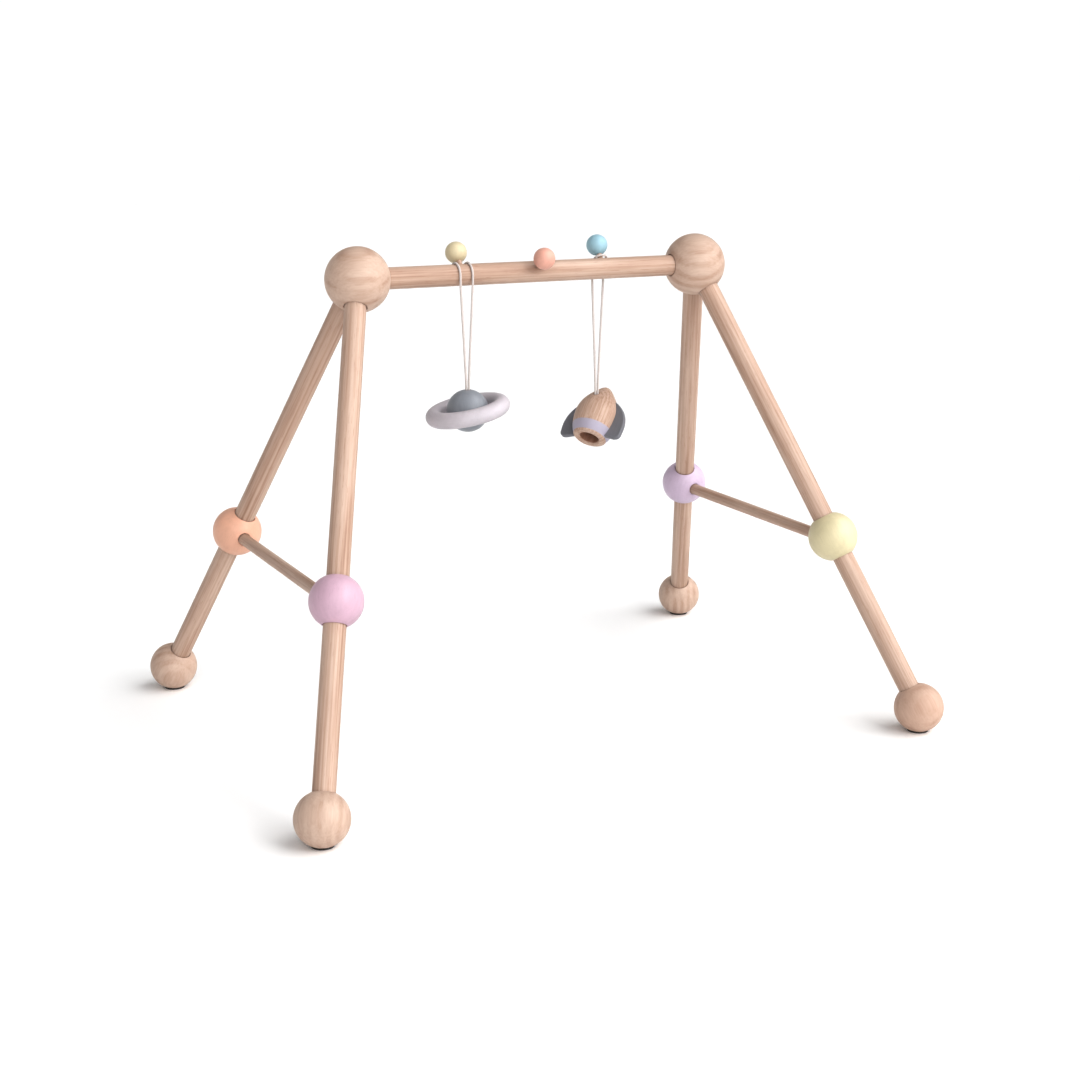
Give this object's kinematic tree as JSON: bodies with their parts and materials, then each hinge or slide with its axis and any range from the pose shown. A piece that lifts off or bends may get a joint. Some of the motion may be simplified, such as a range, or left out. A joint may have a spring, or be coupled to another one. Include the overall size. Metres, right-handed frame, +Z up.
{
  "type": "baby play gym",
  "caption": "Wooden baby play gym: ball-jointed A-frame ends, a crossbar with coloured pegs, and a hanging planet and rocket toy.",
  "frame": {"origin": "on the floor midway between the four feet", "axes": "+X along the crossbar to the right seen from the front, -Y to the front, +Z up"},
  "size_m": [0.692, 0.522, 0.4917],
  "materials": {
    "wood_natural": "satin",
    "paint_orange": "satin paint",
    "paint_pink": "satin paint",
    "paint_lilac": "satin paint",
    "paint_yellow": "satin paint",
    "paint_peg_yellow": "satin paint",
    "paint_peg_orange": "satin paint",
    "paint_peg_blue": "satin paint",
    "paint_grey": "satin paint",
    "paint_ring": "satin paint",
    "cord": "matte",
    "rubber_pad": "matte",
    "steel": "brushed"
  },
  "bodies": {
    "frame": {"crossbar": "wood_natural", "top_ball_left": "wood_natural", "top_ball_right": "wood_natural", "brace_left": "wood_natural", "brace_right": "wood_natural", "crossbar_stud_left": "steel", "crossbar_stud_right": "steel", "upper_leg_back_left": "wood_natural", "mid_ball_back_left": "paint_orange", "lower_leg_back_left": "wood_natural", "foot_ball_back_left": "wood_natural", "foot_pad_back_left": "rubber_pad", "upper_leg_front_left": "wood_natural", "mid_ball_front_left": "paint_pink", "lower_leg_front_left": "wood_natural", "foot_ball_front_left": "wood_natural", "foot_pad_front_left": "rubber_pad", "upper_leg_back_right": "wood_natural", "mid_ball_back_right": "paint_lilac", "lower_leg_back_right": "wood_natural", "foot_ball_back_right": "wood_natural", "foot_pad_back_right": "rubber_pad", "upper_leg_front_right": "wood_natural", "mid_ball_front_right": "paint_yellow", "lower_leg_front_right": "wood_natural", "foot_ball_front_right": "wood_natural", "foot_pad_front_right": "rubber_pad", "peg_stem_yellow": "wood_natural", "peg_bead_yellow": "paint_peg_yellow", "peg_stem_orange": "wood_natural", "peg_bead_orange": "paint_peg_orange", "peg_stem_blue": "wood_natural", "peg_bead_blue": "paint_peg_blue", "saturn_cord_hook": "cord", "saturn_cord_bend_left": "cord", "saturn_cord_bend_right": "cord", "rocket_cord_hook": "cord", "rocket_cord_bend_left": "cord", "rocket_cord_bend_right": "cord"},
    "saturn_cord": {"saturn_strand_left": "cord", "saturn_strand_right": "cord", "saturn_knot": "cord"},
    "saturn": {"saturn_ball": "paint_grey", "saturn_ring_pin_front": "steel", "saturn_ring_pin_back": "steel"},
    "ring": {"saturn_ring": "paint_ring"},
    "rocket_cord": {"rocket_strand_left": "cord", "rocket_strand_right": "cord", "rocket_knot": "cord"},
    "rocket": {"rocket_body": "wood_natural", "rocket_fin_front": "paint_grey", "rocket_fin_back": "paint_grey"}
  },
  "joints": [
    {"name": "saturn_swing", "type": "hinge", "parent": "frame", "child": "saturn_cord", "pos_m": [-0.0786, -0.0116, 0.4585], "axis": [1, 0, 0], "range_deg": [-45, 45], "deforming": ["saturn_cord_bend_left", "saturn_cord_bend_right"]},
    {"name": "saturn_twist", "type": "hinge", "parent": "saturn_cord", "child": "saturn", "pos_m": [-0.0786, -0.0116, 0.3263], "axis": [0, 0, 1], "range_deg": [-180, 180]},
    {"name": "saturn_ring_tilt", "type": "hinge", "parent": "saturn", "child": "ring", "pos_m": [-0.0786, -0.0116, 0.3263], "axis": [0.1203, 0.9927, 0], "range_deg": [-55, 75]},
    {"name": "rocket_swing", "type": "hinge", "parent": "frame", "child": "rocket_cord", "pos_m": [0.0788, 0.0116, 0.4585], "axis": [1, 0, 0], "range_deg": [-45, 45], "deforming": ["rocket_cord_bend_left", "rocket_cord_bend_right"]},
    {"name": "rocket_twist", "type": "hinge", "parent": "rocket_cord", "child": "rocket", "pos_m": [0.0788, 0.0116, 0.3301], "axis": [0, 0, 1], "range_deg": [-180, 180]}
  ]
}
